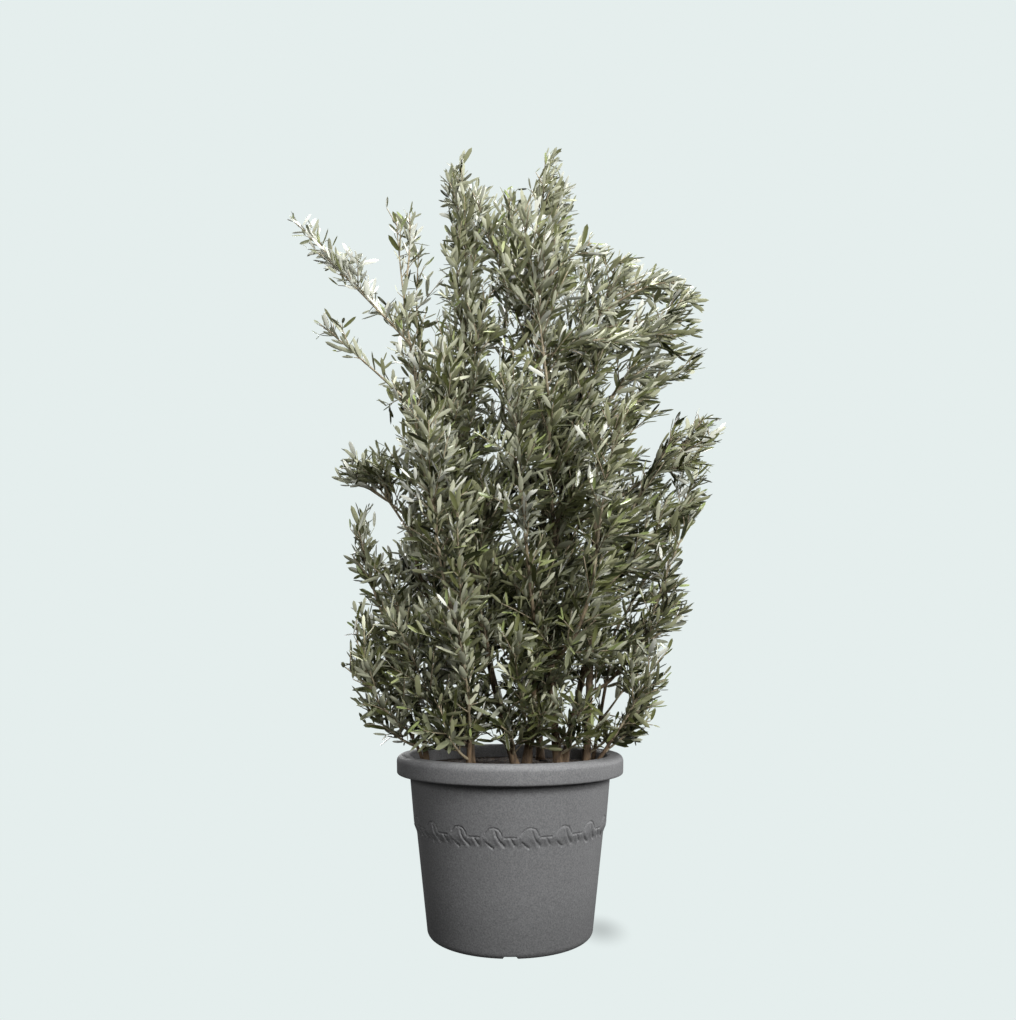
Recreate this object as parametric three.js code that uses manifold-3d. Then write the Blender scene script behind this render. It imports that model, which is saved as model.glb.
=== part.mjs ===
// A many-stemmed olive shrub in a round planter with a rolled rim.
// Millimetres, +Z up. The origin is the middle of the planter's underside, and -Y is the front.
import * as THREE from "three";
import { mergeVertices } from "three/addons/utils/BufferGeometryUtils.js";
import Module from "manifold-3d";

const wasm = await Module();
wasm.setup();
const { Manifold, Mesh: SolidMesh } = wasm;

// ---- Planter -------------------------------------------------------------------------------

const RIM_RADIUS = 250;
const RIM_UNDERSIDE = 330;
const PLANTER_HEIGHT = 370;
const WALL_TOP_RADIUS = 221;
const WALL_FOOT_RADIUS = 177;
const WALL_THICKNESS = 4;
const FOOT_FILLET = 14;
const FLOOR_TOP = 12;
const STEP = { z: 206, height: 3, above: 207.5, below: 202.5 }; // where the wall steps out
const NOTCH = { count: 4, mouth: 32, roof: 24, height: 6.5, depth: 34 }; // drainage, in the base
const SOIL_TOP = 343;
const CLEAR = 0.3; // between pieces that touch
const ROUND_SIDES = 32;

// ---- Growth rule ---------------------------------------------------------------------------

const TWIG_TURN = (2 * Math.PI * 2) / 5; // twigs stand two fifths of a turn apart
const UP = new THREE.Vector3(0, 0, 1);
const TWIG = { spacing: 78, fewest: 3, most: 5, root: 2.6, tip: 1.9, lift: 0.1 };
const TWIG_OPENING = { low: 62, high: 30 }; // degrees from the mass's stem, at its foot and its tip
const LEAF = { length: 134, halfWidth: 23, keel: 4, widestAt: 0.45, opening: 36, apart: 36 };
const LEAF_SCALES = [1, 0.82, 0.66]; // a leaf that doesn't fit is tried smaller, then skipped
const LEAF_PLACES = [0.38, 0.84]; // shares of a twig that bear a pair
const SIDE_SHOOT_ROOT = 4; // radius of a mass's stem where it springs from a limb's side
const SHOOT_TIP = 2.9;
const SPACE_MARGIN = 2.5; // a mass keeps this far inside its own space
const LIMB_MARGIN = 1.5;
const STEM_SAMPLES = 28;
const TIP_SPREAD = 0.45; // share of a mass's reach to the side that is left at its tip
const ROOT_FLARE = { share: 0.45, fade: 1.6 }; // share of the radius added at a stem's foot
const STEM_GRID = [6, 5]; // sides, and rings after the first
const BOUGH_GRID = [5, 4];
const SHOOT_GRID = [5, 3];
const TWIG_GRID = [4, 1];

// ---- Limbs ---------------------------------------------------------------------------------

// Gives each place in a table's rows its name.
function named(keys, rows) {
  return rows.map((row) => Object.fromEntries(keys.map((key, i) => [key, row[i]])));
}

// A stem's foot at the soil, its tip, the sideways bow of its middle, and its radii there.
const STEMS = named(["name", "foot", "tip", "bow", "radii"], [
  ["far_left_stem", [-183, -18], [-246, -24, 600], [10, 0, 0], [5.6, 3.9]],
  ["left_shoot", [-184, -48], [-222, -64, 425], [4, 0, 0], [3.6, 3.2]],
  ["left_stem", [-86, 25], [-182, 56, 1120], [6, 0, 0], [7, 4.3]],
  ["inner_left_stem", [12, -32], [-108, -30, 1390], [-48, 0, 0], [8, 4.4]],
  ["centre_stem", [36, -14], [58, 10, 1430], [32, 0, 0], [9.5, 4.6]],
  ["inner_right_stem", [106, -34], [156, -56, 1150], [-34, 0, 0], [9.5, 5]],
  ["right_arm_stem", [119, 8], [250, 46, 950], [6, 0, 0], [8.2, 4.6]],
  ["right_stem", [168, -14], [216, -14, 1150], [0, 0, 0], [8.6, 5]],
  ["thin_right_stem", [190, 66], [252, 92, 640], [0, 0, 0], [4, 3.4]],
  ["right_shoot", [182, -42], [222, -60, 405], [0, 0, 0], [3.8, 3.3]],
  ["front_left_stem", [-88, -88], [-130, -180, 700], [16, 0, 0], [5.4, 3.9]],
  ["back_left_stem", [-92, 122], [-150, 200, 880], [14, 0, 0], [7.6, 4.4]],
  ["back_right_stem", [72, 118], [112, 206, 980], [-14, 0, 0], [8, 4.4]],
]);

// A bough springs from a share of its parent's length.
const BOUGHS = named(["name", "from", "at", "tip", "bow", "radii"], [
  ["upper_left_bough", "inner_left_stem", 0.5, [-240, -6, 1330], [-22, 0, -30], [4.4, 3.3]],
  ["second_left_bough", "inner_left_stem", 0.36, [-222, -74, 1150], [-22, 0, -30], [4.4, 3.3]],
  ["left_middle_bough", "left_stem", 0.38, [-236, 20, 900], [-22, 0, -34], [4.2, 3.3]],
  ["low_right_bough", "right_stem", 0.2, [250, -40, 560], [0, 0, -12], [4.4, 3.3]],
  ["under_arch_bough", "right_arm_stem", 0.72, [278, 90, 1090], [6, 4, -26], [4.2, 3.3]],
  ["front_bough", "centre_stem", 0.24, [34, -164, 820], [0, -26, -30], [4.8, 3.5]],
  ["front_right_bough", "inner_right_stem", 0.28, [176, -176, 740], [6, -24, -26], [4.4, 3.4]],
  ["crown_back_bough", "centre_stem", 0.5, [-26, 122, 1270], [-10, 18, -30], [4.6, 3.5]],
  ["crown_front_bough", "inner_right_stem", 0.62, [86, -150, 1150], [-6, -20, -26], [4.4, 3.4]],
  ["low_back_left_bough", "back_left_stem", 0.3, [-206, 256, 640], [-10, 14, -22], [4.2, 3.3]],
  ["low_back_right_bough", "back_right_stem", 0.3, [176, 256, 650], [10, 14, -22], [4.2, 3.3]],
]);

// ---- Masses of foliage ---------------------------------------------------------------------

// A mass's stem goes on from its limb's tip, at 1, or springs from a share of the limb's length.
// Its spread is how far it reaches to the side.
const MASSES = named(["name", "on", "at", "tip", "bow", "spread"], [
  ["top_right_leader", "centre_stem", 1, [104, 0, 1882], [4, 0, 0], 118],
  ["top_left_leader", "inner_left_stem", 1, [-134, -6, 1852], [2, 0, 0], 112],
  ["crown_back", "crown_back_bough", 1, [-12, 110, 1770], [0, 12, 0], 120],
  ["crown_front", "crown_front_bough", 1, [24, -130, 1640], [0, -14, 0], 112],
  ["right_shoulder", "inner_right_stem", 1, [290, -50, 1612], [-4, 0, -10], 136],
  ["right_arch", "right_stem", 1, [462, -30, 1490], [4, 0, 26], 120],
  ["under_arch", "under_arch_bough", 1, [486, 90, 1310], [0, 0, -10], 112],
  ["far_right", "right_arm_stem", 1, [546, 30, 1138], [0, 0, 10], 106],
  ["upper_left_arch", "upper_left_bough", 1, [-554, 0, 1684], [8, 0, -12], 82],
  ["second_left_arch", "second_left_bough", 1, [-492, -60, 1396], [-4, 0, -6], 76],
  ["thin_left_shoot", "upper_left_bough", 0.84, [-300, 56, 1744], [-2, 0, 0], 72],
  ["left_shoulder", "left_stem", 1, [-232, 50, 1650], [-14, 6, 0], 130],
  ["left_middle", "left_middle_bough", 1, [-452, 10, 1064], [4, 0, -8], 122],
  ["left_upright", "far_left_stem", 1, [-348, -30, 950], [-14, 0, -10], 104],
  ["left_low", "left_shoot", 1, [-340, -84, 650], [-26, 0, -20], 100],
  ["front_left", "front_left_stem", 1, [-176, -206, 1090], [-6, -10, 0], 118],
  ["front_middle", "front_bough", 1, [4, -206, 1210], [0, -16, 0], 118],
  ["front_right", "front_right_bough", 1, [236, -196, 1100], [0, -12, 0], 118],
  ["right_low", "low_right_bough", 1, [402, -60, 790], [6, 0, -14], 104],
  ["right_middle", "thin_right_stem", 1, [472, 70, 1046], [12, 0, -6], 124],
  ["right_foot", "right_shoot", 1, [334, -84, 610], [4, 0, -12], 112],
  ["back_left", "back_left_stem", 1, [-150, 240, 1370], [0, 14, 0], 122],
  ["back_right", "back_right_stem", 1, [160, 236, 1440], [0, 14, 0], 124],
  ["low_back_left", "low_back_left_bough", 1, [-276, 270, 960], [0, 10, -16], 112],
  ["low_back_right", "low_back_right_bough", 1, [276, 276, 980], [0, 10, -16], 114],
  ["heart_left", "inner_left_stem", 0.26, [-40, -110, 960], [-20, 0, -14], 108],
  ["heart_right", "centre_stem", 0.16, [112, -112, 770], [0, 0, -14], 112],
  ["heart_back", "left_stem", 0.24, [-10, 140, 830], [0, 0, -14], 104],
  ["heart_top", "inner_left_stem", 0.58, [-160, -110, 1300], [0, 0, -14], 100],
  ["foot_front_left", "front_left_stem", 0.14, [-236, -140, 660], [-16, 0, -14], 118],
  ["foot_front", "centre_stem", 0.05, [6, -170, 610], [0, -8, -10], 112],
  ["foot_back", "back_right_stem", 0.12, [30, 232, 620], [0, 10, -10], 96],
]);

const COLOURS = {
  planter: { color: 0x6b6c6d, roughness: 0.72 },
  soil: { color: 0x2c221b, roughness: 1 },
  bark: { color: 0x6a5743, roughness: 0.92 },
  foliage: { color: 0x6f7660, roughness: 0.6 },
};

// ---- Helpers -------------------------------------------------------------------------------

const vec = (p) => new THREE.Vector3(...p);
const mix = THREE.MathUtils.lerp;

// Seeded numbers from 0 to 1, the same on every run.
function seeded(seed) {
  let state = seed >>> 0;
  return () => {
    state = (state + 0x6d2b79f5) >>> 0;
    let t = state;
    t = Math.imul(t ^ (t >>> 15), t | 1);
    t ^= t + Math.imul(t ^ (t >>> 7), t | 61);
    return ((t ^ (t >>> 14)) >>> 0) / 4294967296;
  };
}

function solidOf(geometry) {
  const bare = geometry.clone();
  bare.deleteAttribute("normal");
  bare.deleteAttribute("uv");
  const merged = mergeVertices(bare, 1e-4);
  return new Manifold(
    new SolidMesh({
      numProp: 3,
      vertProperties: merged.attributes.position.array,
      triVerts: new Uint32Array(merged.index.array),
    }),
  );
}

// The largest body of a fused solid, without its loose scraps.
function mainBody(solid) {
  const bodies = solid.decompose();
  return bodies.reduce((best, body) => (body.volume() > best.volume() ? body : best));
}

function geometryOf(solid) {
  const { vertProperties, triVerts } = solid.getMesh();
  const geometry = new THREE.BufferGeometry();
  geometry.setAttribute("position", new THREE.BufferAttribute(new Float32Array(vertProperties), 3));
  geometry.setIndex(new THREE.BufferAttribute(new Uint32Array(triVerts), 1));
  geometry.computeVertexNormals();
  return geometry;
}

function meshOf(name, geometry, look) {
  const mesh = new THREE.Mesh(geometry, new THREE.MeshStandardMaterial({ metalness: 0, ...look }));
  mesh.name = name;
  return mesh;
}

// A curve from root to tip whose middle stands off the straight line by bow.
function bowed(root, tip, bow) {
  const middle = root.clone().lerp(tip, 0.5).addScaledVector(bow, 2);
  const curve = new THREE.QuadraticBezierCurve3(root, middle, tip);
  const steep = Math.abs(tip.z - root.z) > 0.8 * tip.distanceTo(root);
  curve.reference = steep ? new THREE.Vector3(1, 0, 0) : UP;
  return curve;
}

// The direction square to a curve at a share of its length, turned round it by an angle.
function across(curve, t, angle) {
  const tangent = curve.getTangent(Math.min(t, 1));
  const along = curve.reference.dot(tangent);
  const first = curve.reference.clone().addScaledVector(tangent, -along).normalize();
  return first.applyAxisAngle(tangent, angle);
}

// A closed tapering limb along a curve, between two shares of it. Its flat sides, not its edges,
// face the angles 0, 1 / sides, 2 / sides ... of a turn.
function limbGeometry(curve, radii, [sides, rings], span = [0, 1], foot = null) {
  const positions = [];
  const index = [];
  for (let i = 0; i <= rings; i++) {
    const share = i / rings;
    const t = mix(span[0], span[1], share);
    const centre = curve.getPoint(t);
    const flare = foot ? 1 + foot.share * Math.exp(-i * foot.fade) : 1;
    const radius = mix(radii[0], radii[1], share) * flare;
    for (let k = 0; k < sides; k++) {
      const angle = (2 * Math.PI * (k + 0.5)) / sides;
      const p = centre.clone().addScaledVector(across(curve, t, angle), radius);
      positions.push(p.x, p.y, foot && i === 0 ? centre.z : p.z);
    }
    if (i === 0) continue;
    for (let k = 0; k < sides; k++) {
      const a = (i - 1) * sides + k;
      const b = (i - 1) * sides + ((k + 1) % sides);
      index.push(a, b, b + sides, a, b + sides, a + sides);
    }
  }
  const last = rings * sides;
  for (let k = 1; k < sides - 1; k++) {
    index.push(0, k + 1, k, last, last + k, last + k + 1);
  }
  const geometry = new THREE.BufferGeometry();
  geometry.setAttribute("position", new THREE.Float32BufferAttribute(positions, 3));
  geometry.setIndex(index);
  return geometry;
}

// ---- Planter and soil ----------------------------------------------------------------------

// The inside of the wall, a plain cone.
function innerRadius(z) {
  const share = (z - FOOT_FILLET) / (RIM_UNDERSIDE - FOOT_FILLET);
  return mix(WALL_FOOT_RADIUS, WALL_TOP_RADIUS, share) - WALL_THICKNESS;
}

function lathe(profile) {
  const geometry = new THREE.LatheGeometry(profile, ROUND_SIDES);
  return solidOf(geometry.rotateX(Math.PI / 2));
}

function arc(centre, radius, fromDegrees, toDegrees, steps) {
  return Array.from({ length: steps + 1 }, (_, i) => {
    const angle = THREE.MathUtils.degToRad(mix(fromDegrees, toDegrees, i / steps));
    const [r, z] = centre;
    return new THREE.Vector2(r + radius * Math.cos(angle), z + radius * Math.sin(angle));
  });
}

function planterSolid() {
  const point = (r, z) => new THREE.Vector2(r, z);
  const rimCorner = 14;
  const profile = [
    point(0, 0),
    ...arc([WALL_FOOT_RADIUS - FOOT_FILLET, FOOT_FILLET], FOOT_FILLET, -90, 0, 3),
    point(STEP.below, STEP.z),
    point(STEP.above, STEP.z + STEP.height),
    point(WALL_TOP_RADIUS, RIM_UNDERSIDE),
    point(RIM_RADIUS - 3, RIM_UNDERSIDE),
    point(RIM_RADIUS, RIM_UNDERSIDE + 4),
    ...arc([RIM_RADIUS - rimCorner, PLANTER_HEIGHT - rimCorner], rimCorner, 0, 90, 3),
    point(innerRadius(RIM_UNDERSIDE) + 6, PLANTER_HEIGHT),
    point(innerRadius(RIM_UNDERSIDE), PLANTER_HEIGHT - 6),
    point(innerRadius(RIM_UNDERSIDE), RIM_UNDERSIDE),
    point(innerRadius(FLOOR_TOP + 8), FLOOR_TOP + 8),
    point(innerRadius(FLOOR_TOP + 8) - 8, FLOOR_TOP),
    point(0, FLOOR_TOP),
  ];
  const notchShape = new THREE.Shape();
  notchShape.moveTo(-NOTCH.mouth / 2, -5);
  notchShape.lineTo(NOTCH.mouth / 2, -5);
  notchShape.lineTo(NOTCH.mouth / 2, 0);
  notchShape.lineTo(NOTCH.roof / 2, NOTCH.height);
  notchShape.lineTo(-NOTCH.roof / 2, NOTCH.height);
  notchShape.lineTo(-NOTCH.mouth / 2, 0);
  let solid = lathe(profile);
  for (let i = 0; i < NOTCH.count; i++) {
    const run = { depth: NOTCH.depth + 20, bevelEnabled: false };
    const notch = new THREE.ExtrudeGeometry(notchShape, run);
    notch.rotateX(Math.PI / 2).translate(0, NOTCH.depth - WALL_FOOT_RADIUS, 0);
    notch.rotateZ((2 * Math.PI * i) / NOTCH.count);
    solid = solid.subtract(solidOf(notch));
  }
  return solid;
}

function soilSolid() {
  const inner = (z) => innerRadius(z) - CLEAR;
  const base = FLOOR_TOP + CLEAR;
  return lathe([
    new THREE.Vector2(0, base),
    new THREE.Vector2(inner(FLOOR_TOP + 8) - 8, base),
    new THREE.Vector2(inner(FLOOR_TOP + 8), base + 8),
    new THREE.Vector2(inner(RIM_UNDERSIDE), RIM_UNDERSIDE),
    new THREE.Vector2(inner(RIM_UNDERSIDE), SOIL_TOP),
    new THREE.Vector2(0, SOIL_TOP),
  ]);
}

// ---- Limbs ---------------------------------------------------------------------------------

const limbs = new Map();

function addStem({ name, foot, tip, bow, radii }) {
  const curve = bowed(vec([...foot, SOIL_TOP + CLEAR]), vec(tip), vec(bow));
  const solid = solidOf(limbGeometry(curve, radii, STEM_GRID, [0, 1], ROOT_FLARE));
  limbs.set(name, { curve, radii, grid: STEM_GRID, flare: ROOT_FLARE, solid });
}

// A limb's solid grown all round by the clearance, to cut what springs from it.
function grownLimb(limb) {
  const radii = limb.radii.map((r) => r + CLEAR / Math.cos(Math.PI / limb.grid[0]));
  const span = [0, 1 + CLEAR / limb.curve.getLength()];
  return solidOf(limbGeometry(limb.curve, radii, limb.grid, span, limb.flare));
}

function addBough({ name, from, at, tip, bow, radii }) {
  const parent = limbs.get(from);
  const curve = bowed(parent.curve.getPoint(at), vec(tip), vec(bow));
  const whole = solidOf(limbGeometry(curve, radii, BOUGH_GRID));
  const solid = mainBody(whole.subtract(grownLimb(parent)));
  limbs.set(name, { curve, radii, grid: BOUGH_GRID, solid });
}

// ---- Masses --------------------------------------------------------------------------------

// The curve of a mass's stem, which goes on from its limb's tip or springs from its side.
function massCurve({ on, at, tip, bow }) {
  const limb = limbs.get(on);
  return bowed(limb.curve.getPoint(at), vec(tip), vec(bow));
}

// The direction that leans from a curve's own towards a side, by an angle in degrees.
function leaning(curve, t, side, degrees) {
  const angle = THREE.MathUtils.degToRad(degrees);
  return curve.getTangent(t).multiplyScalar(Math.cos(angle)).addScaledVector(side, Math.sin(angle));
}

// How far a point is from a mass's stem, and the share of the stem's length that is nearest.
function nearestOnStem(mass, point) {
  const distances = mass.samples.map((sample) => sample.distanceTo(point));
  const distance = Math.min(...distances);
  return { distance, t: distances.indexOf(distance) / (distances.length - 1) };
}

// A mass's space: within its reach to the side, which narrows to the tip, and nearer to its own
// stem than to any other mass's, by shares of their reach.
function inSpace(point, mass, margin) {
  const { distance, t } = nearestOnStem(mass, point);
  if (distance > mass.spread * mix(1, TIP_SPREAD, Math.max(0, 2 * t - 1) ** 2)) return false;
  const own = (distance + margin) / mass.spread;
  return MASSES.every((other) => {
    return other === mass || own < (nearestOnStem(other, point).distance - margin) / other.spread;
  });
}

// True if a straight piece of the given radius keeps clear of every limb.
function clearOfLimbs(from, to, radius) {
  const segment = new THREE.Line3(from, to);
  const nearest = new THREE.Vector3();
  for (const limb of limbs.values()) {
    const steps = 24;
    for (let i = 0; i <= steps; i++) {
      const p = limb.curve.getPoint(i / steps);
      segment.closestPointToPoint(p, true, nearest);
      const reach = mix(limb.radii[0], limb.radii[1], i / steps) + radius + LIMB_MARGIN;
      if (nearest.distanceTo(p) < reach) return false;
    }
  }
  return true;
}

// The five corners of a leaf: root, tip, both edges and the keel under its middle.
function leafCorners(root, along, face, scale) {
  const { length, halfWidth, keel, widestAt } = LEAF;
  const side = new THREE.Vector3().crossVectors(face, along).normalize();
  const middle = root.clone().addScaledVector(along, length * scale * widestAt);
  return [
    root,
    root.clone().addScaledVector(along, length * scale),
    middle.clone().addScaledVector(side, halfWidth * scale),
    middle.clone().addScaledVector(side, -halfWidth * scale),
    middle.clone().addScaledVector(face, -keel),
  ];
}

const LEAF_FACES = [0, 3, 2, 0, 2, 4, 0, 4, 3, 1, 2, 3, 1, 4, 2, 1, 3, 4];

function leafGeometry(corners) {
  const positions = corners.flatMap((corner) => corner.toArray());
  const geometry = new THREE.BufferGeometry();
  geometry.setAttribute("position", new THREE.Float32BufferAttribute(positions, 3));
  geometry.setIndex(LEAF_FACES);
  return geometry;
}

// A leaf on a twig, at the largest size that keeps to the mass's space, or null.
function tryLeaf(root, along, face, mass) {
  for (const scale of LEAF_SCALES) {
    const corners = leafCorners(root, along, face, scale);
    const halves = [corners[1], corners[2], corners[3]].map((corner) => corner.clone().lerp(root, 0.5));
    const inside = [...corners, ...halves].every((point) => inSpace(point, mass, SPACE_MARGIN));
    const centre = root.clone().lerp(corners[1], 0.5);
    const crowded = mass.leafCentres.some((other) => other.distanceTo(centre) < LEAF.apart);
    if (!inside || crowded || !clearOfLimbs(root, corners[1], LEAF.halfWidth * scale * 0.7)) continue;
    mass.leafCentres.push(centre);
    return leafGeometry(corners);
  }
  return null;
}

// Leaves in opposite pairs on the flat sides of a shoot, each pair turned a quarter from the last,
// and one at its tip.
function leavesOn(curve, places, mass, random) {
  const made = [];
  const add = (t, along) => {
    const root = curve.getPoint(t);
    const face = new THREE.Vector3(root.x, root.y, 0).normalize().addScaledVector(UP, 0.6);
    face.addScaledVector(across(curve, t, 2 * Math.PI * random()), 0.6);
    face.addScaledVector(along, -face.dot(along)).normalize();
    const leaf = tryLeaf(root, along, face, mass);
    if (leaf) made.push(leaf);
  };
  places.forEach((t, pair) => {
    for (const half of [0, Math.PI]) {
      const side = across(curve, t, half + pair * (Math.PI / 2));
      add(t, leaning(curve, t, side, LEAF.opening));
    }
  });
  add(0.99, curve.getTangent(1));
  return made;
}

function twigsOn(mass, random) {
  const length = mass.curve.getLength();
  const count = THREE.MathUtils.clamp(Math.round(length / TWIG.spacing), TWIG.fewest, TWIG.most);
  const first = Math.floor(5 * random());
  const made = [];
  for (let k = 0; k < count; k++) {
    const t = mix(0.12, 0.72, (k + 0.3 * random()) / count);
    const side = across(mass.curve, t, (k + first) * TWIG_TURN);
    const opening = mix(TWIG_OPENING.low, TWIG_OPENING.high, t);
    const out = leaning(mass.curve, t, side, opening);
    const reach = mass.spread * mix(1.05, 0.7, t) * mix(0.85, 1, random());
    const along = reach / Math.sin(THREE.MathUtils.degToRad(opening));
    const span = Math.max(along - LEAF.length * 0.8, 34);
    const root = mass.curve.getPoint(t);
    const tip = root.clone().addScaledVector(out, span).addScaledVector(UP, span * TWIG.lift);
    const curve = bowed(root, tip, new THREE.Vector3());
    const inside = curve.getPoints(4).every((point) => inSpace(point, mass, SPACE_MARGIN + TWIG.root));
    if (!inside || !clearOfLimbs(root, tip, TWIG.root)) continue;
    made.push(limbGeometry(curve, [TWIG.root, TWIG.tip], TWIG_GRID));
    made.push(...leavesOn(curve, LEAF_PLACES, mass, random));
  }
  return made;
}

function massSolid(mass, seed) {
  const random = seeded(seed);
  const limb = limbs.get(mass.on);
  const root = mass.at === 1 ? limb.radii[1] : SIDE_SHOOT_ROOT;
  const length = mass.curve.getLength();
  const woodEnd = 1 - LEAF.length / length;
  const stem = limbGeometry(mass.curve, [root, SHOOT_TIP], SHOOT_GRID, [0, woodEnd]);
  const [neck, crown] = [woodEnd * 0.7, woodEnd].map((t) => mass.curve.getPoint(t));
  const head = bowed(neck, crown, new THREE.Vector3());
  const pieces = [...twigsOn(mass, random), ...leavesOn(head, [0.2], mass, random)];
  const fused = Manifold.union([stem, ...pieces].map(solidOf));
  return mainBody(fused.subtract(grownLimb(limb)).simplify(0.02));
}

// ---- Assembly ------------------------------------------------------------------------------

STEMS.forEach(addStem);
BOUGHS.forEach(addBough);
for (const mass of MASSES) {
  mass.curve = massCurve(mass);
  mass.samples = mass.curve.getPoints(STEM_SAMPLES);
  mass.leafCentres = [];
}

const pottedOlive = new THREE.Group();
pottedOlive.name = "potted_olive";
pottedOlive.add(meshOf("planter", geometryOf(planterSolid()), COLOURS.planter));
pottedOlive.add(meshOf("soil", geometryOf(soilSolid()), COLOURS.soil));
for (const [name, { solid }] of limbs) {
  pottedOlive.add(meshOf(name, geometryOf(solid), COLOURS.bark));
}
MASSES.forEach((mass, i) => {
  pottedOlive.add(meshOf(`leaves_${mass.name}`, geometryOf(massSolid(mass, 101 + i)), COLOURS.foliage));
});

export default pottedOlive;
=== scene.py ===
"""Looks of a potted olive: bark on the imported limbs, twigs and leaves grown on them, planter, light.

Metres, +Z up. The origin is the middle of the planter's underside, and -Y is the front.
"""

import math

import bpy
import numpy as np
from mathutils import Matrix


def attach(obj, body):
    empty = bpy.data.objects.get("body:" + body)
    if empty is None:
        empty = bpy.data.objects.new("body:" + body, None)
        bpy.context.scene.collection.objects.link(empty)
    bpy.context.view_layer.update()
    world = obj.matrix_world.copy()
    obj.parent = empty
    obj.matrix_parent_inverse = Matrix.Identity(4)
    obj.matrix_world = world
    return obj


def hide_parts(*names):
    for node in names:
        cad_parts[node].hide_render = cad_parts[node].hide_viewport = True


MM = 0.001
UP = np.array([0.0, 0.0, 1.0])
EAST = np.array([1.0, 0.0, 0.0])

# ---- Camera and light ----

CAMERA_PLACE = (-0.0045, -1.888, 0.545)
CAMERA_PITCH = 11.3  # degrees upwards
CAMERA_LENS = 28.76
CAMERA_SENSOR = 36
BACKDROP = (0.783, 0.855, 0.847)  # also the floor's colour
# A soft shadow painted into the floor's glow beside the planter, cast by no lamp.
SHADOW_PLACE = (0.195, 0.02)  # middle of the shadow painted on the floor, right of the planter
SHADOW_SIZE = (0.072, 0.135)  # half width and half depth
SHADOW_DEPTH = 0.34
FLOOR_HALF = 40
AMBIENT = 0.065  # strength of the light from all around
LIGHTS = {  # place, what it points at, size, power
    "sky_light": ((0.0, -0.5, 4.2), (0, 0, 0.9), 1.2, 226),
    "key_light": ((2.1, -3.1, 2.1), (0, 0, 0.7), 1.8, 238),
    "fill_light": ((-2.6, -2.6, 1.8), (0, 0, 0.9), 1.2, 44),
    "side_light": ((3.0, 1.2, 1.2), (0, 0, 0.6), 1.0, 60),
    "back_light": ((-1.6, 3.2, 2.4), (0, 0, 0.8), 1.5, 105),
}

# ---- Planter ----

RIM_RADIUS = 0.250
RIM_UNDERSIDE = 0.330
PLANTER_HEIGHT = 0.370
RIM_LIP = 0.004  # radius of the rim's lower edge
RIM_DRAFT = 0.001  # by which its side leans out upwards
RIM_CORNER = 0.013  # radius of its upper edge
RIM_ROLL = 0.007  # radius of its inner edge
WALL_TOP_RADIUS = 0.221
WALL_FOOT_RADIUS = 0.177
WALL_THICKNESS = 0.004
FOOT_FILLET = 0.014
INNER_FLOOR = 0.012  # height of the floor inside
INNER_FILLET = 0.008
WALL_STEP = 0.220  # height where the upper wall stands out from the lower one
RADIUS_AT_STEP = {"lower": 0.2042, "upper": 0.2086}
BAND = (0.194, 0.256)  # heights between which the garland is cut
BAND_FADE = 0.020  # over which the upper wall comes forward, so that no edge shows
NOTCH = {"count": 4, "mouth": 0.032, "roof": 0.024, "height": 0.0065, "inner": 0.143, "step": 0.0006}
SOIL_TOP = 0.343
SOIL = {"rings": 40, "columns": 160, "gap": 0.0008, "sink": 0.002, "crumb": 0.0011, "heave": 0.0016}
SOIL_SHARES = (0.012, 0.97)  # of its radius, where its mesh starts and where it is level
MOTIFS = 18  # repeats of the garland around the planter
MOTIF_COLUMNS = 56
AROUND = MOTIFS * MOTIF_COLUMNS  # columns of the planter's mesh
MOTIF_WIDTH = 77.6  # of one repeat as drawn; the wall takes it a little narrower
MOTIF_LEFT = 0.3  # share of a repeat left of its arch's crest
MOTIF_TURN = -9  # degrees from the front to the nearest arch
CREST = 0.248  # height of an arch's crest

# Strokes of one repeat of the garland: points right of and above an arch's crest, and the half
# width at their ends, in millimetres.
GROOVES = [
    ([(-18.5, -10), (-10, -2), (0, 0), (10, -3), (15.5, -10), (17.5, -15.5)], (0.9, 1.1)),
    ([(4, -7), (6, -15.5), (11.5, -25), (21.5, -35)], (1.0, 2.3)),
    ([(-17.5, -28), (-10, -35), (-3, -39)], (1.0, 1.9)),
    ([(22.5, -18.5), (47.5, -18.5)], (1.3, 1.3)),
    ([(35, -19.5), (43.5, -33)], (1.3, 2.1)),
]
RIBS = [
    ([(-1, -6), (1, -16), (6, -27), (15, -38)], (2.2, 3.4)),
    ([(-22, -18), (-14, -26), (-3, -33)], (2.2, 3.2)),
    ([(31, -22), (37, -34)], (2.2, 3.2)),
    ([(49, -19), (52, -33)], (2.2, 3.0)),
]
GROOVE_DEPTH = 0.0031
RIB_HEIGHT = 0.0007

# ---- Limbs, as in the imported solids: millimetres ----

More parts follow.
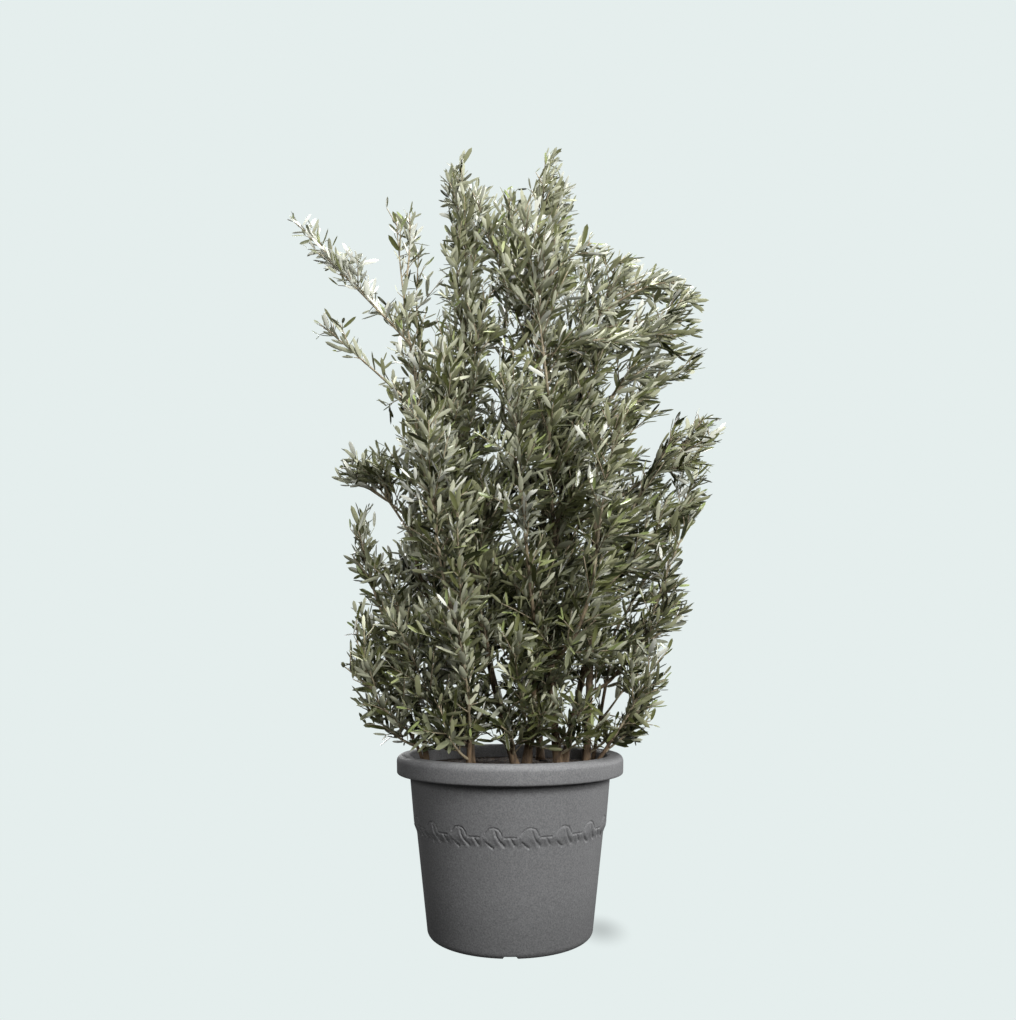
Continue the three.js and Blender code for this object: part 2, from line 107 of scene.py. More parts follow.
STEMS = {  # foot, tip, bow, radius at foot and tip
    "far_left_stem": ((-183, -18), (-246, -24, 600), (10, 0, 0), (5.6, 3.9)),
    "left_shoot": ((-184, -48), (-222, -64, 425), (4, 0, 0), (3.6, 3.2)),
    "left_stem": ((-86, 25), (-182, 56, 1120), (6, 0, 0), (7, 4.3)),
    "inner_left_stem": ((12, -32), (-108, -30, 1390), (-48, 0, 0), (8, 4.4)),
    "centre_stem": ((36, -14), (58, 10, 1430), (32, 0, 0), (9.5, 4.6)),
    "inner_right_stem": ((106, -34), (156, -56, 1150), (-34, 0, 0), (9.5, 5)),
    "right_arm_stem": ((119, 8), (250, 46, 950), (6, 0, 0), (8.2, 4.6)),
    "right_stem": ((168, -14), (216, -14, 1150), (0, 0, 0), (8.6, 5)),
    "thin_right_stem": ((190, 66), (252, 92, 640), (0, 0, 0), (4, 3.4)),
    "right_shoot": ((182, -42), (222, -60, 405), (0, 0, 0), (3.8, 3.3)),
    "front_left_stem": ((-88, -88), (-130, -180, 700), (16, 0, 0), (5.4, 3.9)),
    "back_left_stem": ((-92, 122), (-150, 200, 880), (14, 0, 0), (7.6, 4.4)),
    "back_right_stem": ((72, 118), (112, 206, 980), (-14, 0, 0), (8, 4.4)),
}

BOUGHS = {  # stem, share of it where the bough leaves, tip, bow, radius at root and tip
    "upper_left_bough": ("inner_left_stem", 0.5, (-240, -6, 1330), (-22, 0, -30), (4.4, 3.3)),
    "second_left_bough": ("inner_left_stem", 0.36, (-222, -74, 1150), (-22, 0, -30), (4.4, 3.3)),
    "left_middle_bough": ("left_stem", 0.38, (-236, 20, 900), (-22, 0, -34), (4.2, 3.3)),
    "low_right_bough": ("right_stem", 0.2, (250, -40, 560), (0, 0, -12), (4.4, 3.3)),
    "under_arch_bough": ("right_arm_stem", 0.72, (278, 90, 1090), (6, 4, -26), (4.2, 3.3)),
    "front_bough": ("centre_stem", 0.24, (34, -164, 820), (0, -26, -30), (4.8, 3.5)),
    "front_right_bough": ("inner_right_stem", 0.28, (176, -176, 740), (6, -24, -26), (4.4, 3.4)),
    "crown_back_bough": ("centre_stem", 0.5, (-26, 122, 1270), (-10, 18, -30), (4.6, 3.5)),
    "crown_front_bough": ("inner_right_stem", 0.62, (86, -150, 1150), (-6, -20, -26), (4.4, 3.4)),
    "low_back_left_bough": ("back_left_stem", 0.3, (-206, 256, 640), (-10, 14, -22), (4.2, 3.3)),
    "low_back_right_bough": ("back_right_stem", 0.3, (176, 256, 650), (10, 14, -22), (4.2, 3.3)),
}

STEM_RISE = 0.3  # of a stem's foot above the soil, still in millimetres
LIMB_SIDES = 14
LIMB_RING = 0.009  # from one ring of a limb's mesh to the next
ROOT_FLARE = 0.45
FLARE_LENGTH = 0.022
JOINT = {"swell": 0.10, "spacing": 0.047, "place": 0.02, "width": 0.005, "shift": 0.011}
BARK_RELIEF = 0.07
RIPPLES = {"waves": 6, "peak": 3.2, "scale": 60}  # unevenness of bark and soil

# ---- Masses of foliage: parent, share of it, tip, bow and reach to the side, in millimetres ----

# A sixth value is how many times further apart than usual the twigs stand, from the photograph.
MASSES = {
    "top_right_leader": ("centre_stem", 1, (104, 0, 1882), (4, 0, 0), 118),
    "top_left_leader": ("inner_left_stem", 1, (-134, -6, 1852), (2, 0, 0), 112),
    "crown_back": ("crown_back_bough", 1, (-12, 110, 1770), (0, 12, 0), 120, 1.15),
    "crown_front": ("crown_front_bough", 1, (24, -130, 1640), (0, -14, 0), 112),
    "right_shoulder": ("inner_right_stem", 1, (290, -50, 1612), (-4, 0, -10), 136, 1.35),
    "right_arch": ("right_stem", 1, (462, -30, 1490), (4, 0, 26), 120, 1.3),
    "under_arch": ("under_arch_bough", 1, (486, 90, 1310), (-46, 0, 40), 112),
    "far_right": ("right_arm_stem", 1, (546, 30, 1138), (0, 0, 10), 106),
    "upper_left_arch": ("upper_left_bough", 1, (-554, 0, 1684), (8, 0, -12), 82),
    "second_left_arch": ("second_left_bough", 1, (-492, -60, 1396), (-4, 0, -6), 76, 1.2),
    "thin_left_shoot": ("upper_left_bough", 0.84, (-300, 56, 1744), (-2, 0, 0), 72, 3.0),
    "left_shoulder": ("left_stem", 1, (-232, 50, 1650), (-14, 6, 0), 130, 2.5),
    "left_middle": ("left_middle_bough", 1, (-452, 10, 1064), (4, 0, -8), 122),
    "left_upright": ("far_left_stem", 1, (-348, -30, 950), (-14, 0, -10), 104),
    "left_low": ("left_shoot", 1, (-340, -84, 650), (-26, 0, -20), 100),
    "front_left": ("front_left_stem", 1, (-176, -206, 1090), (-6, -10, 0), 118),
    "front_middle": ("front_bough", 1, (4, -206, 1210), (0, -16, 0), 118),
    "front_right": ("front_right_bough", 1, (236, -196, 1100), (0, -12, 0), 118),
    "right_low": ("low_right_bough", 1, (402, -60, 790), (6, 0, -14), 104),
    "right_middle": ("thin_right_stem", 1, (472, 70, 1046), (12, 0, -6), 124),
    "right_foot": ("right_shoot", 1, (334, -84, 610), (4, 0, -12), 112),
    "back_left": ("back_left_stem", 1, (-150, 240, 1370), (0, 14, 0), 122),
    "back_right": ("back_right_stem", 1, (160, 236, 1440), (0, 14, 0), 124),
    "low_back_left": ("low_back_left_bough", 1, (-276, 270, 960), (0, 10, -16), 112),
    "low_back_right": ("low_back_right_bough", 1, (276, 276, 980), (0, 10, -16), 114),
    "heart_left": ("inner_left_stem", 0.26, (-40, -110, 960), (-20, 0, -14), 108, 0.7),
    "heart_right": ("centre_stem", 0.16, (112, -112, 770), (0, 0, -14), 112, 0.7),
    "heart_back": ("left_stem", 0.24, (-10, 140, 830), (0, 0, -14), 104, 0.7),
    "heart_top": ("inner_left_stem", 0.58, (-160, -110, 1300), (0, 0, -14), 100),
    "foot_front_left": ("front_left_stem", 0.14, (-236, -140, 660), (-16, 0, -14), 118, 0.75),
    "foot_front": ("centre_stem", 0.05, (6, -170, 610), (0, -8, -10), 112, 0.75),
    "foot_back": ("back_right_stem", 0.12, (30, 232, 620), (0, 10, -10), 96),
}

# Finer shoots between the masses, given in the same way.
SPRAYS = {
    "umbrella_top": ("right_shoulder", 0.80, (336, -60, 1566), (0, 0, 8), 66, 1.5),
    "umbrella_outer": ("right_shoulder", 0.64, (464, 0, 1476), (0, 0, 26), 66, 1.4),
    "umbrella_front": ("right_shoulder", 0.52, (404, -110, 1450), (0, -8, 22), 66, 1.4),
    "umbrella_back": ("right_shoulder", 0.58, (410, 70, 1470), (0, 8, 22), 70, 1.4),
    "umbrella_edge": ("right_arch", 0.78, (484, -20, 1426), (0, 0, 12), 56),
    "umbrella_under": ("right_shoulder", 0.42, (466, 20, 1404), (0, 0, 26), 66, 1.6),
    "eaves_front": ("right_shoulder", 0.26, (408, -70, 1330), (0, -6, 20), 66, 1.3),
    "eaves_outer": ("right_arch", 0.52, (448, 10, 1300), (0, 0, 18), 66, 1.6),
    "shoulder_left": ("inner_right_stem", 0.85, (212, 20, 1590), (0, 0, 0), 100),
    "shoulder_front": ("crown_front", 0.50, (230, -120, 1560), (-10, 0, 10), 84),
    "arm_front": ("right_arm_stem", 0.6, (404, -60, 1120), (0, 0, 14), 96),
    "arm_tip": ("far_right", 0.45, (516, 0, 1180), (0, 0, 16), 60),
    "arm_under": ("far_right", 0.3, (480, -30, 1046), (0, 0, 10), 80),
    "arm_low": ("right_stem", 0.45, (424, -20, 950), (0, 0, -6), 96),
    "arm_edge": ("right_middle", 0.6, (474, 30, 960), (0, 0, 6), 66),
    "side_low": ("right_low", 0.4, (424, -50, 900), (0, 0, 6), 76),
    "side_lower": ("right_low", 0.25, (404, 0, 700), (0, 0, 6), 76),
    "peak_between": ("centre_stem", 0.95, (-12, -20, 1760), (0, 0, 0), 66, 1.3),
    "crown_middle": ("centre_stem", 0.9, (84, -60, 1560), (10, 0, 0), 84),
    "crown_left": ("inner_left_stem", 0.95, (-128, -30, 1660), (0, 0, 0), 76),
    "eaves_low": ("right_arch", 0.12, (384, -20, 1292), (0, 0, 20), 66),
    "eaves_low_front": ("crown_front", 0.2, (316, -110, 1300), (0, 0, 20), 72),
    "eaves_back": ("under_arch", 0.15, (372, 130, 1300), (0, 0, 16), 70),
    "eaves_foot": ("right_stem", 0.95, (352, -30, 1236), (0, 0, 10), 66),
    "left_upright_tip": ("left_upright", 0.6, (-350, -40, 905), (-4, 0, 0), 60),
    "left_bank": ("far_left_stem", 0.6, (-300, -60, 800), (-6, 0, 0), 90),
    "cross_high": ("centre_stem", 0.85, (-66, -30, 1650), (0, 0, 0), 84),
    "cross_front": ("inner_left_stem", 0.66, (-46, -110, 1440), (0, 0, 0), 84),
    "cross_middle": ("centre_stem", 0.55, (-34, -110, 1240), (0, 0, 0), 84),
    "cross_right": ("inner_right_stem", 0.7, (216, -110, 1330), (0, 0, 0), 84),
    "peak_right": ("top_right_leader", 0.35, (156, 0, 1720), (10, 0, 0), 70),
    "peak_right_side": ("top_right_leader", 0.6, (136, -20, 1800), (8, 0, 0), 60),
    "peak_left_side": ("top_left_leader", 0.35, (-160, -10, 1760), (-8, 0, 0), 60),
    "peak_left_tip": ("top_left_leader", 0.62, (-146, -10, 1822), (-4, 0, 0), 56),
    "peak_left": ("top_left_leader", 0.30, (-88, -10, 1760), (8, 0, 0), 58),
    "left_inner_gap": ("inner_left_stem", 0.9, (-96, -40, 1500), (0, 0, 0), 70),
    "thin_left_side": ("thin_left_shoot", 0.45, (-264, 40, 1732), (0, 0, 0), 56, 1.6),
    "left_tuft": ("left_middle", 0.35, (-400, -10, 1020), (0, 0, 10), 70),
    "left_edge": ("left_upright", 0.45, (-372, -30, 820), (-6, 0, 0), 66),
    "left_edge_low": ("left_low", 0.5, (-366, -70, 560), (-6, 0, 0), 70),
    "arch_under": ("upper_left_arch", 0.12, (-486, -10, 1592), (0, 0, -12), 58),
    "left_arm": ("left_middle_bough", 0.9, (-404, -10, 1090), (0, 0, 12), 66),
    "left_arm_under": ("left_middle", 0.3, (-330, -30, 1010), (0, 0, 0), 70),
    "low_left": ("left_shoot", 0.55, (-322, -70, 490), (0, 0, -10), 84),
    "front_left_low": ("front_left_stem", 0.15, (-122, -220, 700), (0, -8, 0), 60),
    "front_left_mid": ("front_left_stem", 0.45, (-112, -232, 900), (0, -8, 0), 60),
    "low_left_edge": ("far_left_stem", 0.5, (-360, -40, 720), (-6, 0, 0), 60),
    "low_far_left": ("far_left_stem", 0.3, (-350, -10, 600), (0, 0, -12), 90),
    "low_front_left": ("front_left_stem", 0.06, (-150, -170, 500), (0, 0, -6), 90, 0.75),
    "low_inner_left": ("left_stem", 0.03, (-96, -90, 500), (0, 0, 4), 80),
    "low_centre": ("inner_left_stem", 0.04, (-36, -120, 500), (0, -4, 0), 80, 0.75),
    "low_tuft": ("left_stem", 0.02, (-100, -140, 440), (0, -6, 0), 70),
    "low_tuft_centre": ("inner_left_stem", 0.02, (-30, -130, 440), (0, -6, 0), 70),
    "back_low": ("back_right_stem", 0.3, (40, 250, 760), (0, 10, 0), 100),
    "back_middle": ("back_left_stem", 0.6, (-20, 240, 1120), (0, 10, 0), 100),
    "back_foot": ("back_left_stem", 0.1, (-60, 240, 520), (0, 8, 0), 90),
    "low_front": ("centre_stem", 0.03, (66, -150, 470), (0, -6, -6), 85),
    "low_centre_right": ("centre_stem", 0.08, (96, -60, 560), (6, 0, 0), 76),
    "low_front_right": ("inner_right_stem", 0.05, (160, -150, 500), (0, -6, -6), 85),
    "low_right": ("right_shoot", 0.5, (300, -60, 450), (0, 0, -8), 84),
    "cross_low_right": ("inner_right_stem", 0.5, (286, -110, 1140), (0, 0, 0), 84),
    "low_right_spray": ("right_stem", 0.03, (318, -90, 500), (0, 0, -12), 76),
    "low_right_inner": ("inner_right_stem", 0.03, (226, -110, 470), (0, 0, -6), 74),
    "low_right_edge": ("right_foot", 0.3, (330, -60, 520), (0, 0, -6), 76),
    "low_right_back": ("thin_right_stem", 0.3, (300, 70, 560), (0, 0, -8), 90),
}

# The crown's outline and its gaps as seen from the camera, in the plane y = 0: millimetres.
OUTLINE = [  # height, furthest left, furthest right
    (390, -290, 285),
    (424, -332, 330),
    (455, -350, 346),
    (485, -366, 350),
    (547, -374, 377),
    (610, -375, 374),
    (700, -365, 421),
    (800, -383, 398),
    (870, -371, 402),
    (937, -366, 480),
    (1005, -445, 480),
    (1070, -400, 490),
    (1095, -375, 520),
    (1112, -320, 527),
    (1140, -290, 529),
    (1180, -315, 446),
    (1215, -321, 415),
    (1290, -387, 490),
    (1360, -493, 498),
    (1430, -480, 500),
    (1470, -396, 488),
    (1500, -430, 452),
    (1530, -458, 410),
    (1550, -480, 370),
    (1586, -519, 312),
    (1620, -560, 226),
    (1700, -560, 171),
    (1755, -330, 168),
    (1775, -200, 164),
    (1820, -184, 148),
    (1888, -158, 134),
]
GAPS = [  # middle across and up, half width and half height
    (-366, 1622, 52, 34),
    (-302, 1534, 38, 30),
    (-400, 1448, 60, 34),
    (-386, 1152, 82, 44),
    (-350, 965, 56, 15),
    (-293, 903, 24, 55),
    (424, 1206, 62, 26),
    (-202, 1665, 11, 52),
    (-10, 1880, 76, 100),
    (-306, 1470, 24, 16),
    (-334, 1368, 38, 40),
    (-345, 1262, 32, 28),
    (341, 1120, 32, 13),
    (232, 486, 30, 26),
    (13, 1385, 10, 26),
]

# ---- Growth rule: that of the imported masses, carried to finer twigs ----

SEEDS = {"crumbs": 7, "heave": 5, "shoots": 101, "limbs": 201}

SHOOT_SWAY = 0.010  # by which the middle of a shoot strays
SHOOT_SAMPLES = 29  # points from which reach is measured
SHOOT_RADII = (0.0032, 0.0012)  # where one grows from another's side, and at its tip
HEAVY_WOOD = 0.002  # root radius from which wood gets the finer mesh
FINE_TUBE = (8, 16)  # sides and rings
COARSE_TUBE = (4, 3)
SLENDER = 0.085  # reach up to which a shoot isn't thinned at the outline
TIP_SPREAD = 0.45  # share of a shoot's reach that is left at its tip
REACH_SLACK = 1.2  # times that reach, how far leaves may stand
OUTLINE_SLACK = 10  # millimetres
EDGE_FADE = 28  # millimetres inside the outline over which the leaves grow full

TWIG_TURN = 2 * math.pi * 2 / 5  # twigs stand two fifths of a turn apart
TURN_STRAY = 0.2
TWIG_SPACING = 0.0135
TWIGS_ALONG = (0.04, 0.94)  # of a shoot
TWIG_OPENING = (66, 38)  # degrees, at the stem's foot and its tip
TWIG_OPENING_STRAY = 11
TWIG_LIFT = (0.0, 0.50)  # least and most that a twig rises, as a share of its span
TWIG_BEND = (-0.06, 0.10)  # least and most that it bows
TWIG_REACH = (1.15, 0.8)  # share of the stem's reach, at its foot and its tip
TWIG_VARIETY = (0.35, 1.15)  # least and most share of that
TWIG_CUTS = (1, 0.7, 0.45)  # shares of its span, tried until it fits
TWIG_PROBES = (0.6, 1.0)  # where it has to fit
TWIG_LEAST = 0.02
TWIG_RADII = (0.0016, 0.0009)
TWIGLET_SPACING = 0.038
TWIGLET_OPENING = (32, 52)
TWIGLET_SPAN = (0.5, 0.95)  # least and most share of what is left of the twig
TWIGLET_LEAST = 0.018
TWIGLET_BOW = 0.15  # share of its lift
TWIGLET_RADII = (0.0010, 0.0007)
LIMB_TWIG_SPACING = 0.019
LIMB_REACH = 0.150  # of the twigs on the limbs themselves
LEAFY_FROM = 0.50  # height where they start

PIECE_LEAVES = 7800  # most leaves in one joined piece
PAIR_SPACING = 0.0145
PAIR_STRAY = 0.25
LEAVES_FROM = {"shoot": 0.3, "twig": 0.12, "twiglet": 0.2}
LEAF_LENGTH = 0.050
LEAF_TIP_SIZE = 0.62  # share of that length at a shoot's tip
LEAF_SIZES = (0.68, 1.15)  # least and most share of it
LEAF_SLIMNESS = (0.088, 0.124)  # least and most half width, as a share of length
LEAF_CURL = (0.02, 0.09)  # mean and stray
LEAF_OPENING = (58, 32)
LEAF_OPENING_STRAY = 9
LEAF_RISE = (-0.08, 0.38)  # least and most
LEAF_SWAY = 0.06
LEAF_LEAN = 0.80  # towards +X, at its most on the crown's upper right
LEAN_SIDE = 0.25  # left of the middle where it starts, and right of it where it is full
LEAN_FROM = 0.45  # height where it starts
LEAN_FADE = 0.3
LEAF_FACING = (0.7, 0.8, 0.1, 0.75)  # along the shoot, up, outward and anyhow
LEAF_LOSS = 0.05  # share of leaves that have fallen
LEAF_STATIONS = np.array([0.2, 0.52, 0.84])  # along a leaf, where its edges have points
LEAF_WIDTHS = np.array([0.78, 1.0, 0.80])
LEAF_KEEL = 0.28
LEAF_DIP = 0.3
LEAF_THICKNESS = 0.0004
LOWEST_LEAF = 0.384
CROWN_TOP = 1.88
CROWN_RADIUS = 0.45

# What makes a spray paler, and by how much: 0 is the darkest tint and 1 the palest. Height, outness and
# left are painted light: sprays low, deep in the crown and to the right get painted shade; stray is the
# leaves' own varying tone.
TINT_WITH_PAINTED_LIGHT = {"least": 0.20, "height": 0.29, "outness": 0.25, "left": 0.10, "stray": 0.27}
MOST_OUTNESS = 0.8
YOUNG_FROM = 0.8  # share of a shoot past which its leaves may be young
YOUNG_SHARE = 0.35
UPPER_TINTS = [
    (0.018, 0.022, 0.007),
    (0.052, 0.058, 0.018),
    (0.102, 0.111, 0.040),
    (0.158, 0.169, 0.100),
    (0.244, 0.254, 0.192),
]
LOWER_TINTS = [(0.205, 0.212, 0.115), (0.395, 0.405, 0.290), (0.620, 0.632, 0.555)]
LOWER_OF_UPPER = [0, 0, 1, 1, 2]  # the underside that goes with each upper side
YOUNG_TINTS = [(0.190, 0.230, 0.085), (0.260, 0.290, 0.130)]


# ---- Small maths ----


def mix(a, b, t):
    return a + (b - a) * t


def unit(v):
    return v / np.linalg.norm(v, axis=-1, keepdims=True)


class Curve:
    """A curve from root to tip whose middle stands off the straight line by bow."""

    def __init__(self, root, tip, bow):
        self.root = np.array(root, float)
        self.tip = np.array(tip, float)
        self.middle = (self.root + self.tip) / 2 + 2 * np.array(bow, float)
        chord = np.linalg.norm(self.tip - self.root)
        steep = abs(self.tip[2] - self.root[2]) > 0.8 * chord
        self.reference = EAST if steep else UP
        samples = self.point(np.linspace(0, 1, 13))
        self.length = np.linalg.norm(np.diff(samples, axis=0), axis=1).sum()

    def point(self, t):
        t = np.asarray(t, float)[..., None]
        return (1 - t) ** 2 * self.root + 2 * t * (1 - t) * self.middle + t**2 * self.tip

    def tangent(self, t):
        t = np.asarray(t, float)[..., None]
        return unit((1 - t) * (self.middle - self.root) + t * (self.tip - self.middle))

    def across(self, t, angle):
        """The direction square to the curve at t, turned round it by an angle."""
        tangent = self.tangent(t)
        dot = (tangent @ self.reference)[..., None]
        first = unit(self.reference - dot * tangent)
        second = np.cross(tangent, first)
        angle = np.asarray(angle, float)[..., None]
        return np.cos(angle) * first + np.sin(angle) * second


# ---- Meshes ----


def put(name, data):
    """A new object in the scene."""
    thing = bpy.data.objects.new(name, data)
    bpy.context.scene.collection.objects.link(thing)
    return thing


def mesh_object(name, points, triangles, materials, material_index=None):
    """A smooth mesh from arrays."""
    mesh = bpy.data.meshes.new(name)
    mesh.vertices.add(len(points))
    mesh.vertices.foreach_set("co", np.asarray(points, np.float32).ravel())
    mesh.loops.add(triangles.size)
    mesh.loops.foreach_set("vertex_index", np.asarray(triangles, np.int32).ravel())
    mesh.polygons.add(len(triangles))
    mesh.polygons.foreach_set("loop_start", np.arange(0, triangles.size, 3, dtype=np.int32))
    for material in materials:
        mesh.materials.append(material)
    if material_index is not None:
        mesh.polygons.foreach_set("material_index", np.asarray(material_index, np.int32))
    mesh.update(calc_edges=True)
    mesh.shade_smooth()
    return put(name, mesh)


def merged(parts):
    """One pair of point and triangle arrays from many."""
    starts = np.cumsum([0] + [len(points) for points, _ in parts[:-1]])
    points = np.concatenate([p for p, _ in parts])
    triangles = np.concatenate([t + start for (_, t), start in zip(parts, starts)])
    return points, triangles


def grid_triangles(rows, columns):
    """Triangles between rows of points, each row going round once."""
    i, k = np.meshgrid(np.arange(rows - 1), np.arange(columns), indexing="ij")
    a = i * columns + k
    b = i * columns + (k + 1) % columns
    quads = np.stack([a, b, b + columns, a + columns], -1).reshape(-1, 4)
    return np.concatenate([quads[:, [0, 1, 2]], quads[:, [0, 2, 3]]])


def tube(curve, radius, sides, rings, last=1.0):
    """A tube along a curve, closed at both ends. radius(t, angle) gives its radius."""
    t = np.linspace(0, last, rings + 1)
    angle = np.arange(sides) * 2 * math.pi / sides
    tt, aa = np.meshgrid(t, angle, indexing="ij")
    points = curve.point(tt) + curve.across(tt, aa) * radius(tt, aa)[..., None]
    points = points.reshape(-1, 3)
    top = rings * sides
    fan = np.arange(1, sides - 1)
    foot = np.stack([np.zeros_like(fan), fan + 1, fan], 1)
    head = top + np.stack([np.zeros_like(fan), fan, fan + 1], 1)
    return points, np.concatenate([grid_triangles(rings + 1, sides), foot, head])


def ripple(x, y, seed):
    """Smooth seeded unevenness of about -1 to 1."""
    rng = np.random.default_rng(seed)
    total = np.zeros(np.broadcast(x, y).shape)
    for _ in range(RIPPLES["waves"]):
        a, b, c = rng.uniform(0.5, 2.2), rng.integers(1, 5), rng.uniform(0, 2 * math.pi)
        total += np.sin(a * x + b * y + c)
    return total / RIPPLES["peak"]


# ---- Materials ----


class Nodes:
    """A new material with a Principled shader, and short calls to add nodes to it."""

    def __init__(self, name, roughness, colour=None, **settings):
        self.material = bpy.data.materials.new(name)
        self.material.use_nodes = True
        self.tree = self.material.node_tree
        self.shader = self.tree.nodes["Principled BSDF"]
        self.shader.inputs["Roughness"].default_value = roughness
        if colour:
            self.shader.inputs["Base Color"].default_value = (*colour, 1)
        for key, value in settings.items():
            self.shader.inputs[key.replace("_", " ")].default_value = value

    def add(self, kind, **values):
        node = self.tree.nodes.new(kind)
        for key, value in values.items():
            name = key.replace("_", " ")
            if name in node.inputs:
                node.inputs[name].default_value = value
            else:
                setattr(node, key, value)
        return node

    def link(self, source, target):
        self.tree.links.new(source, target)

    def place(self):
        return self.add("ShaderNodeTexCoord").outputs["Object"]

    def colour(self, source):
        self.link(source, self.shader.inputs["Base Color"])

    def noise(self, scale, stretch=(1, 1, 1), detail=4.0, roughness=0.55):
        mapping = self.add("ShaderNodeMapping", Scale=stretch)
        noise = self.add("ShaderNodeTexNoise", Scale=scale, Detail=detail, Roughness=roughness)
        self.link(self.place(), mapping.inputs["Vector"])
        self.link(mapping.outputs["Vector"], noise.inputs["Vector"])
        return noise.outputs["Fac"]

    def ramp(self, source, stops, smooth=False):
        ramp = self.add("ShaderNodeValToRGB")
        ramp.color_ramp.interpolation = "EASE" if smooth else "LINEAR"
        elements = ramp.color_ramp.elements
        while len(elements) < len(stops):
            elements.new(0.5)
        for element, (position, colour) in zip(elements, stops):
            element.position = position
            element.color = (*colour, 1)
        self.link(source, ramp.inputs["Fac"])
        return ramp.outputs["Color"]

    def multiplied(self, first, second):
        blend = self.add("ShaderNodeMix", data_type="RGBA", blend_type="MULTIPLY", Factor=1.0)
        self.link(first, blend.inputs["A"])
        self.link(second, blend.inputs["B"])
        return blend.outputs["Result"]

    def height(self, low, high):
        """A ramp up the part: (height, colour) at its low and at its high end, in metres."""
        split = self.add("ShaderNodeSeparateXYZ")
        self.link(self.place(), split.inputs["Vector"])
        return self.ramp(split.outputs["Z"], [low, high])

    def bump(self, source, strength, distance):
        bump = self.add("ShaderNodeBump", Strength=strength, Distance=distance)
        self.link(source, bump.inputs["Height"])
        self.link(bump.outputs["Normal"], self.shader.inputs["Normal"])


def leaf_material(name, colour, roughness):
    nodes = Nodes(name, roughness, colour)
    nodes.bump(nodes.noise(400, detail=2.0), 0.15, 0.0004)
    return nodes.material


def bark_material():
    """Brown at the foot, grey-green higher up, with cracks along the stem."""
    nodes = Nodes("bark", 0.88)
    height = nodes.height((0.4, (0.112, 0.077, 0.046)), (1.0, (0.190, 0.165, 0.112)))
    streaks = nodes.noise(90, stretch=(1, 1, 0.3), detail=6.0, roughness=0.7)
    patches = nodes.ramp(streaks, [(0.36, (0.34, 0.31, 0.29)), (0.64, (1.42, 1.38, 1.28))])
    nodes.colour(nodes.multiplied(height, patches))
    nodes.bump(nodes.noise(260, stretch=(1, 1, 0.18), detail=6.0), 0.7, 0.0015)
    return nodes.material


def twig_material(name, light, dark):
    nodes = Nodes(name, 0.75)
    nodes.colour(nodes.ramp(nodes.noise(120), [(0.35, dark), (0.65, light)]))
    return nodes.material


def planter_material():
    """Grey moulded plastic with a fine grain, and painted shade that darkens it a little towards its foot.
    """
    nodes = Nodes("planter_grey", 0.62)
    grain = nodes.noise(300, detail=5.0, roughness=0.75)
    colour = nodes.ramp(grain, [(0.36, (0.092, 0.093, 0.095)), (0.64, (0.166, 0.167, 0.169))])
    # Painted shade: the colour darkens towards the planter's foot.
    painted_foot_shade = nodes.height((0.0, (0.72, 0.72, 0.72)), (0.12, (1.0, 1.0, 1.0)))
    nodes.colour(nodes.multiplied(colour, painted_foot_shade))
    nodes.bump(grain, 0.7, 0.0008)
    return nodes.material


def soil_material():
    nodes = Nodes("soil_crumbs", 0.95)
    tints = [(0.35, (0.012, 0.008, 0.006)), (0.55, (0.045, 0.030, 0.020)), (0.72, (0.13, 0.09, 0.055))]
    nodes.colour(nodes.ramp(nodes.noise(160, detail=6.0), tints))
    nodes.bump(nodes.noise(220, detail=6.0), 1.0, 0.004)
    return nodes.material


# ---- Planter and soil ----


def inner_radius(z):
    share = (z - FOOT_FILLET) / (RIM_UNDERSIDE - FOOT_FILLET)
    return mix(WALL_FOOT_RADIUS, WALL_TOP_RADIUS, share) - WALL_THICKNESS


def lower_wall(z):
    return mix(WALL_FOOT_RADIUS, RADIUS_AT_STEP["lower"], (z - FOOT_FILLET) / (WALL_STEP - FOOT_FILLET))


def upper_wall(z):
    share = (z - WALL_STEP) / (RIM_UNDERSIDE - WALL_STEP)
    return mix(RADIUS_AT_STEP["upper"], WALL_TOP_RADIUS, share)


def arc(centre_r, centre_z, radius, start, end, steps):
    """Points of an arc in the profile, from one angle in degrees to another."""
    angles = np.radians(np.linspace(start, end, steps + 1))
    return [(centre_r + radius * math.cos(a), centre_z + radius * math.sin(a)) for a in angles]


def stretch(start, end, steps):
    """Points of a straight run, without its first one."""
    return [tuple(mix(np.array(start), np.array(end), (i + 1) / steps)) for i in range(steps)]


def planter_profile():
    """Radius and height of each ring, from the underside over the rim to the inner floor."""
    profile = [(NOTCH["inner"] - NOTCH["step"], 0), (NOTCH["inner"], 0)]

    def run(radius, height, steps):
        profile.extend(stretch(profile[-1], (radius, height), steps))

    profile += arc(WALL_FOOT_RADIUS - FOOT_FILLET, FOOT_FILLET, FOOT_FILLET, -90, 0, 8)
    band_low, band_high = BAND
    run(lower_wall(band_low), band_low, 6)
    run(upper_wall(band_high), band_high, 46)
    run(WALL_TOP_RADIUS, RIM_UNDERSIDE, 4)
    lip_radius = RIM_RADIUS - RIM_LIP - RIM_DRAFT
    run(lip_radius, RIM_UNDERSIDE, 3)
    profile += arc(lip_radius, RIM_UNDERSIDE + RIM_LIP, RIM_LIP, -90, 0, 4)[1:]
    run(RIM_RADIUS, PLANTER_HEIGHT - RIM_CORNER, 3)
    profile += arc(RIM_RADIUS - RIM_CORNER, PLANTER_HEIGHT - RIM_CORNER, RIM_CORNER, 0, 90, 8)[1:]
    roll_radius = inner_radius(RIM_UNDERSIDE) + RIM_ROLL
    run(roll_radius, PLANTER_HEIGHT, 2)
    profile += arc(roll_radius, PLANTER_HEIGHT - RIM_ROLL, RIM_ROLL, 90, 180, 5)[1:]
    run(inner_radius(RIM_UNDERSIDE), RIM_UNDERSIDE, 3)
    fillet_top = INNER_FLOOR + INNER_FILLET
    inside = inner_radius(fillet_top)
    profile += [(inside, fillet_top), (inside - INNER_FILLET, INNER_FLOOR)]
    return np.array(profile)


